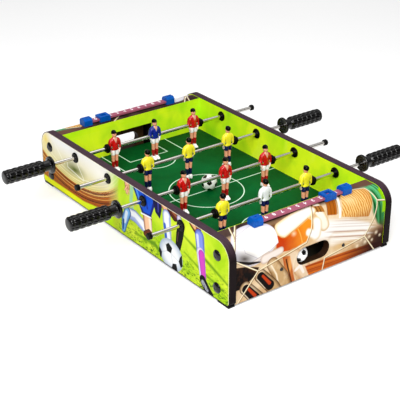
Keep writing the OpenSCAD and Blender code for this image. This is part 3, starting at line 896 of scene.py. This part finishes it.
def handle(bm, length, place):
    """Thin ringed flange, smooth neck, and a grip of long ridges cut across into domed blocks."""
    plain = (
        (2.4, 3.1), (2.4, 4.6), (1.2, 5.4), (0.9, 6.6), (1.5, 7.2), (1.5, 8.4), (0.7, 9.2), (0.4, 12),
        (0, 12.6), (0, 13.4), (0.5, 13.9), (1.5, 14), (2.8, 13.9), (3.4, 13.2), (3.7, 11.5),
        (4.3, 9.6), (5.2, 8.7), (6.5, 8.4), (15.4, 8.4), (16, 8.8), (16.7, 9.8),
    )
    stations = [(t, r, 0) for t, r in plain]
    pitch = (length - DOME - GRIP_START) / BLOCKS
    for block in range(BLOCKS):
        start = GRIP_START + block * pitch
        for share, r, depth in (
            (0, 10, 0), (0.05, 10.7, 0.7), (0.14, 11.1, 1.5), (0.3, 11.4, 1.9), (0.46, 11.5, 2),
            (0.62, 11.4, 1.9), (0.78, 11.1, 1.5), (0.87, 10.7, 0.7), (0.92, 10, 0),
        ):
            stations.append((start + share * pitch, r, depth))
    for left, r, depth in (
        (5.5, 10.2, 0), (4.9, 11, 1), (4, 11.2, 1.5), (2.8, 10.9, 1.4), (1.6, 10, 0.8), (0.8, 8.6, 0.2),
        (0.3, 7, 0), (0, 4.6, 0), (0, 1.6, 0),
    ):
        stations.append((length - left, r, depth))
    rings = []
    for t, r, depth in stations:
        ring = []
        for i in range(RIDGES):
            for share in CELL:
                a = 2 * math.pi * (i + share) / RIDGES
                valley = max(0, 1 - min(share, 1 - share) / 0.2)
                rr = r - depth * valley * valley * (3 - 2 * valley)
                ring.append(place @ Vector((rr * math.cos(a), rr * math.sin(a), t)))
        rings.append(ring)
    loft(bm, rings)


STUB_CAP = [
    (0, 5), (3.05, 5), (3.05, 0), (4.7, 0), (5, 0.3), (5, 1.4), (4.75, 1.7), (5, 2),
    (5, 4.6), *arc(3.6, 4.6, 1.4, 0, 90), (0, 6),
]
RUBBER_STOP = [
    (3.06, 0), (6.8, 0), *arc(6.7, 0.9, 0.9, -90, 0), *arc(6.7, 3.1, 0.9, 0, 90),
    (5.4, 4), (5, 4.3), (5, 6.6), *arc(4.1, 6.6, 0.9, 0, 90), (3.4, 7.5), (3.06, 7.2),
]

for i, y in ROD_Y.items():
    side = -1 if i % 2 else 1
    grip, stub, stops = bmesh.new(), bmesh.new(), bmesh.new()
    lo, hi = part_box(f"rod{i}_handle")
    start = (lo.x if side > 0 else hi.x) / MM
    handle(grip, (hi.x - lo.x) / MM, towards_x(start, y, ROD_Z, side))
    lathe(stub, STUB_CAP, towards_x(-side * STUB_CAP_X, y, ROD_Z, -side), 40)
    for s in (-1, 1):
        lathe(stops, RUBBER_STOP, towards_x(s * STOP_X, y, ROD_Z, s), 44)
    rod, rings = f"rod{i}", f"rod{i}_stop_rings"
    stand_in(f"{rod}_ribbed_handle", grip, [black_gloss], rod, f"{rod}_handle", 32)
    stand_in(f"{rod}_stub_cap", stub, [black_matt], rod, f"{rod}_end_cap")
    stand_in(f"{rod}_rubber_stops", stops, [black_rubber], f"{rod}_stops", rings)
    dress(f"{rod}_bar", chrome)
    dress(f"{rod}_pins", zinc)


# ---------- balls


def ball(node, turn):
    """Smooth ball with twelve five-sided dark patches and faint seams between the white ones."""
    lo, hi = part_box(node)
    middle = (lo + hi) / 2 / MM
    radius = (hi.x - lo.x) / 2 / MM
    bm = bmesh.new()
    bmesh.ops.create_icosphere(bm, subdivisions=1, radius=1)
    thirds = {"offset": 33.333, "offset_type": "PERCENT", "segments": 1}
    bmesh.ops.bevel(bm, geom=bm.verts[:], affect="VERTICES", **thirds)
    for face in bm.faces:
        face.material_index = 1 if len(face.verts) == 5 else 0
    bmesh.ops.inset_individual(bm, faces=bm.faces[:], thickness=0.022, use_even_offset=True)
    bmesh.ops.triangulate(bm, faces=bm.faces[:])
    for _ in range(3):
        bmesh.ops.subdivide_edges(bm, edges=bm.edges[:], cuts=1, use_grid_fill=True)
    place = Matrix.Translation(middle) @ turn
    for vert in bm.verts:
        vert.co = place @ (vert.co.normalized() * radius)
    stand_in(f"{node}_patched", bm, [ball_white, black_gloss], node, node, 80)


ball("field_ball", Matrix.Rotation(0.5, 4, "X") @ Matrix.Rotation(0.35, 4, "Y"))
ball("return_ball", Matrix.Rotation(1.1, 4, "X") @ Matrix.Rotation(0.2, 4, "Z"))


# ---------- figures


def oval(z, rx, ry, cx, cy, power, count):
    """One level of a limb or body: an ellipse at power 2, a rounded rectangle above."""
    ring = []
    for i in range(count):
        a = 2 * math.pi * i / count
        c, s = math.cos(a), math.sin(a)
        x = math.copysign(abs(c) ** (2 / power), c) * rx
        y = math.copysign(abs(s) ** (2 / power), s) * ry
        ring.append(Vector((cx + x, cy + y, z)))
    return ring


SHIRT, SHORTS, SKIN, SOCK, BOOT, HAIR, ARM = range(7)

# levels of the trunk, from the hem up to the collar: z, half width, half depth, power
TRUNK = (
    (-4.9, 5.9, 4, 2.6), (-4.8, 6.8, 5.1, 2.6), (-4, 6.9, 5.2, 2.6), (-2.7, 6.3, 4.9, 2.5),
    (-0.8, 5.8, 4.6, 2.4), (1.4, 6, 4.8, 2.4), (4, 6.6, 5, 2.4), (8, 7.8, 5.1, 2.4),
    (11.5, 8.6, 4.9, 2.4), (13.8, 8, 4.5, 2.4), (15.2, 6.2, 4, 2.3), (16.1, 4.2, 3.6, 2.2),
    (16.5, 3.5, 3.3, 2), (17.2, 3.3, 3.1, 2), (17.3, 2.5, 2.4, 2),
)
# limbs: slot, power, points round a level, and levels of z, x, half width, half depth, y
LIMBS = (
    # sleeve, puffed out over the elbow
    (SHIRT, 2.4, 18, (
        (-2.9, 9.1, 1.2, 2.2, 0.1), (-3, 9.2, 1.9, 3.3, 0.1), (-2.2, 9.3, 2.05, 3.7, 0.1),
        (0.6, 9.35, 2, 3.8, 0.1), (3.6, 9.2, 2.15, 4.1, 0.1), (7.2, 8.7, 2.5, 4.3, 0.1),
        (10.4, 7.9, 2.75, 4, 0.1), (13, 6.8, 2.7, 3.4, 0.1), (14.7, 5.7, 2, 2.6, 0.1),
        (15.3, 5.3, 0.9, 1.2, 0.1),
    )),
    # forearm, tucked in to the hand on the hip
    (ARM, 2.3, 16, (
        (-1.4, 9.2, 1.2, 2, 0.3), (-3.1, 9.2, 1.6, 2.7, 0.5), (-4.6, 8.8, 1.7, 2.7, 0.9),
        (-6.1, 8.1, 1.6, 2.4, 1.3), (-7.4, 7.4, 1.6, 2.4, 1.6), (-8.8, 7, 1.75, 2.6, 1.8),
        (-10.2, 6.7, 1.6, 2.3, 1.9), (-11.2, 6.5, 0.9, 1.4, 1.9),
    )),
    # one leg of the shorts
    (SHORTS, 2.5, 20, (
        (-3.6, 2.9, 3.2, 4.3, 0.1), (-5.6, 3.2, 3.4, 4.7, 0.1), (-8.6, 3.5, 3.35, 4.8, 0.1),
        (-11.8, 3.65, 3.3, 4.85, 0.1), (-13.1, 3.7, 3.3, 4.8, 0.1), (-13.3, 3.7, 2.9, 4.2, 0.1),
        (-12.9, 3.6, 2.4, 3.6, 0.1),
    )),
    # bare leg, down to the calf
    (SKIN, 2.2, 18, (
        (-12, 3.45, 2.6, 3.7, 0.1), (-15, 3.4, 2.65, 3.8, 0.1), (-18.2, 3.35, 2.5, 3.6, 0.1),
        (-21.5, 3.25, 2.3, 3.3, 0.1), (-23, 3.2, 2.4, 3.5, 0.1), (-24.6, 3.2, 2.3, 3.3, 0.1),
        (-25.4, 3.2, 2, 2.9, 0.1),
    )),
    # sock, with a turned-over top
    (SOCK, 2.2, 18, (
        (-24.3, 3.2, 2, 2.9, 0), (-24.3, 3.2, 2.6, 3.6, 0), (-25.4, 3.2, 2.65, 3.65, 0),
        (-25.7, 3.2, 2.45, 3.4, 0), (-28.5, 3.2, 2.6, 3.7, -0.2), (-31.5, 3.15, 2.4, 3.4, -0.2),
        (-34, 3.1, 2.2, 3, -0.1), (-36.5, 3.05, 2.15, 2.9, 0), (-37, 3, 1.6, 2, 0),
    )),
)
BOOT_X = 3.05
# levels of the boot, from heel to toe: y, half width, lowest z, highest z
BOOT_LEVELS = (
    (-4.1, 1.4, -42.6, -38.6), (-3.9, 2.3, -43.1, -36.2), (-2.4, 2.5, -43.2, -34.9),
    (0, 2.55, -43.2, -34.7), (2.2, 2.6, -43.2, -35.6), (3.8, 2.7, -43.1, -37.3),
    (5.6, 2.8, -42.8, -38.6), (7.2, 2.6, -42.4, -39.5), (8.2, 2, -42, -40.2),
    (8.45, 1, -41.6, -40.8),
)


def figure_mesh():
    """One figure in millimetres about the rod's axis, facing +Y."""
    bm = bmesh.new()
    rings = []
    for z, rx, ry, power in TRUNK:
        rings.append(oval(z, rx, ry, 0, 0, power, 28))
        if -4 < z < 13:
            # folds pressed into the front and the back
            for p in rings[-1]:
                fold = 0.34 * math.sin(0.85 * z + 0.75 * abs(p.x)) + 0.16 * math.sin(1.9 * z - 1.1 * p.x)
                p.y += math.copysign(fold, p.y) * min(1, abs(p.y) / 3)
    loft(bm, rings, SHIRT)
    for side in (-1, 1):
        for slot, power, count, levels in LIMBS:
            rings = [oval(z, rx, ry, side * cx, cy, power, count) for z, cx, rx, ry, cy in levels]
            loft(bm, rings, slot)
        rings = []
        for y, rx, low, high in BOOT_LEVELS:
            ring = oval(0, rx, (high - low) / 2, side * BOOT_X, (low + high) / 2, 2.6, 16)
            rings.append([Vector((p.x, y, p.y)) for p in reversed(ring)])
        loft(bm, rings, BOOT)
    neck = ((14.5, 1.9), (16.5, 2.2), (18.5, 2.1), (20, 2.3))
    loft(bm, [oval(z, r, r, 0, -0.2, 2, 16) for z, r in neck], SKIN)
    shaped_sphere(bm, 28, SKIN, head)
    shaped_sphere(bm, 36, HAIR, hair)
    bmesh.ops.recalc_face_normals(bm, faces=bm.faces)
    return bm


def bump(point, at, size, height):
    """How far a soft bump, of the given place, size and height, lifts a point."""
    return height * math.exp(-((math.dist(point, at) / size) ** 2))


def shaped_sphere(bm, segments, slot, shape):
    """A unit sphere, each of whose points is moved by a function."""
    made = bmesh.ops.create_uvsphere(bm, u_segments=segments, v_segments=20, radius=1)
    for vert in made["verts"]:
        vert.co = shape(vert.co.copy())
    for face in {f for v in made["verts"] for f in v.link_faces}:
        face.material_index = slot


def head(n):
    """A calm, plain face: brow, nose, mouth, chin and ears."""
    jaw = 1 - 0.16 * max(0, -n.z)
    chin = 1 - 0.06 * max(0, -n.z)
    p = Vector((n.x * 4 * jaw, n.y * 4.5 * chin + 0.3, 21.9 + n.z * 6.1))
    amount = bump(p, (0, 5.1, 21.5), 0.95, 0.9) + bump(p, (0, 4.9, 23), 0.75, 0.28)
    for side in (-1, 1):
        amount -= bump(p, (side * 1.6, 4.4, 23.1), 0.9, 0.5)
        amount += bump(p, (side * 4, 0.2, 21.7), 0.95, 0.7)
    amount += bump(p, (0, 4.6, 19.7), 1.1, 0.26) + bump(p, (0, 4.2, 17.5), 1.4, 0.4)
    return p + Vector((n.x, n.y, n.z * 0.4)) * amount


def hair(n):
    """Short hair with a brim of fringe lifted forward and combed grooves."""
    p = Vector((n.x * 4.45, n.y * 4.9 - 0.7, 24.5 + n.z * 4.45))
    groove = 0.12 * math.sin(11 * math.atan2(n.x, n.z + 0.4)) * (0.4 + 0.6 * abs(n.y))
    lift = bump(p, (0.5, 4.2, 25.8), 1.9, 1.9) - bump(p, (0, 5, 21.4), 2.5, 2.1)
    p += n * (groove + lift)
    if n.z < 0:
        p.z += 2.3 * max(0, n.y) * -n.z
    return p


PAINT_ROUGH = 0.26


def painted(name, colour, shade):
    """Glossy paint, darker in soft patches as where it was sprayed thinner."""
    net = Net(name)
    cloud = net.ramp(net.noise(0.16, 3, 0.6, 0.6), 0.35, 0.65)
    return net, net.mix(cloud, dimmed(colour, shade), colour)


def shirt(name, colour, shade):
    """Shirt paint, with a skin-coloured open collar at the front."""
    net, paint = painted(name, colour, shade)
    vee = net.most(abs(net.x) - (net.z - 8.6) * 0.44, 1.5 - net.y)
    collar_edge_line = net.within(abs(vee) - 0.28, 0.2)
    colour = net.mix(net.within(vee, 0.2), paint, "#e8a888")
    # a paler line of the shirt colour along the edge of the open collar, on the front
    colour = net.mix(collar_edge_line * net.within(1 - net.y, 0.4), colour, net.mix(0.35, paint, "#ffffff"))
    return net.finish(colour, PAINT_ROUGH, coat=0.4, bump=(net.noise(0.9, 3, 0.6), 0.03))


def paint_material(name, colour, shade, rough=PAINT_ROUGH, coat=0.35, specular=0.5):
    """Plain paint of one colour."""
    net, paint = painted(name, colour, shade)
    return net.finish(paint, rough, specular, coat, bump=(net.noise(0.9, 3, 0.6), 0.02))


def face_material():
    """Skin with painted brows, eyes and a mouth."""
    net, paint = painted("figure_skin", "#f4a884", 0.88)
    across = abs(net.x)
    front = net.ramp(net.y, 2.5, 3.2) * net.ramp(net.z, 18, 18.4)
    brow = net.length(across - 1.7, net.z - 24.15, (0.62, 2.4, 0))
    eye = net.length(across - 1.6, net.z - 23.05, (1, 1.9, 0))
    mouth = net.length(across, net.z - 19.5, (0.6, 3.2, 0))
    colour = net.mix(net.within(mouth - 0.75, 0.3) * front, paint, "#b5503c")
    colour = net.mix(net.within(net.least(brow, eye) - 0.72, 0.3) * front, colour, "#140c0a")
    return net.finish(colour, PAINT_ROUGH, coat=0.35, bump=(net.noise(0.9, 3, 0.6), 0.02))


skin = face_material()
hair_black = paint_material("figure_hair", "#010101", 0.6, 0.16, 0, 0.14)
boots = paint_material("figure_boots", "#fcf8f8", 0.93)
# painted highlight: the forearms are skin painted pale, standing in for the glossy skin's highlight
forearms_painted_highlight = paint_material("figure_forearms_painted_highlight", "#fbdccf", 0.92)
gloves = paint_material("keeper_gloves", "#f6f3f6", 0.88)
# shorts and socks of each team
red = (paint_material("white_shorts", "#fbf6f5", 0.93), paint_material("red_socks", "#b00a0e", 0.6))
navy = (paint_material("navy_shorts", "#0a0a52", 0.6), paint_material("navy_socks", "#090944", 0.6))
# by red team and keeper: slot, shirt, shorts, socks, forearms
KITS = {
    (True, False): ("figure_red", shirt("red_shirt", "#dc0a12", 0.58), *red, forearms_painted_highlight),
    (True, True): ("keeper_blue", shirt("blue_shirt", "#10249c", 0.55), *red, gloves),
    (False, False): ("figure_yellow", shirt("yellow_shirt", "#fff030", 0.9), *navy, forearms_painted_highlight),
    (False, True): ("keeper_white", shirt("white_shirt", "#f8f9fe", 0.9), *navy, gloves),
}

whole = mesh_object("figure_master", figure_mesh(), [skin] * 7, 180)
figure_data = whole.data
bpy.data.objects.remove(whole)

for i, y in ROD_Y.items():
    for k, side in enumerate(("left", "middle", "right")):
        red_team = i % 2 == 1
        keeper = k == 1 and i in (1, 4)
        slot, top, shorts, socks, hands = KITS[red_team, keeper]
        player = new_object(f"rod{i}_figure_{side}", figure_data)
        kit = (top, shorts, skin, socks, boots, hair_black, hands)
        for material_slot, material in zip(player.material_slots, kit):
            material_slot.link = "OBJECT"
            material_slot.material = material
        turn = Matrix.Rotation(math.pi if red_team else 0, 4, "Z")
        place = Vector(((k - 1) * FIGURE_PITCH, y, ROD_Z)) * MM
        player.matrix_world = Matrix.Translation(place) @ turn
        smooth = player.modifiers.new("smooth", "SUBSURF")
        smooth.levels = smooth.render_levels = 1
        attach(player, f"rod{i}")
        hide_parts(f"rod{i}_player_{side}")


# ---------- floor, light, camera


def floor():
    net = Net("studio_floor")
    tone = net.noise(0.002, 2)
    net.shader.inputs["Emission Color"].default_value = (1, 1, 1, 1)
    net.shader.inputs["Emission Strength"].default_value = 0.22
    return net.finish(net.mix(tone, "#e4e4e4", "#eaeaea"), 0.6, 0.1)


bm = bmesh.new()
bmesh.ops.create_grid(bm, x_segments=1, y_segments=1, size=6000)
ground = mesh_object("studio_floor", bm, [floor()])
# just under the feet, which would flicker in it
ground.location.z = -0.2 * MM

world = bpy.data.worlds.new("studio")
world.use_nodes = True
air = Tree(world.node_tree)
height = air.split(air.node("TexCoord", {}, out="Generated"))[2]
glow = air.ramp(height, 0.25, 0.75) * 0.5 + 0.16
air.feed(air.tree.nodes["Background"].inputs["Strength"], glow)
air.tree.nodes["Background"].inputs["Color"].default_value = (1, 1, 1, 1)
bpy.context.scene.world = world


def softbox(name, place, size, power):
    """A rectangular lamp aimed at the middle of the table, in metres and watts."""
    light = bpy.data.lights.new(name, "AREA")
    light.shape = "RECTANGLE"
    light.size, light.size_y = size
    light.energy = power
    made = new_object(name, light)
    made.location = place
    made.rotation_euler = (Vector((0, 0, 0.05)) - Vector(place)).to_track_quat("-Z", "Y").to_euler()


softbox("key", (-1, -1, 1.3), (1.2, 1.2), 40)
softbox("top", (0.3, 0.5, 1.7), (1.6, 1.2), 8)

# the camera, in degrees and metres
AZIMUTH, ELEVATION, DISTANCE = -36.640, 26.485, 1.77712
TARGET = Vector((-0.00886, 0.00550, 0.02112))
a, e = math.radians(AZIMUTH), math.radians(ELEVATION)
back = Vector((math.sin(a) * math.cos(e), -math.cos(a) * math.cos(e), math.sin(e)))
lens = bpy.data.cameras.new("camera")
lens.sensor_width = 36
lens.lens = 100.03
lens.clip_start, lens.clip_end = 0.05, 50
camera = new_object("camera", lens)
camera.location = TARGET + back * DISTANCE
camera.rotation_euler = (-back).to_track_quat("-Z", "Y").to_euler()
bpy.context.scene.camera = camera
bpy.context.scene.view_settings.view_transform = "Standard"
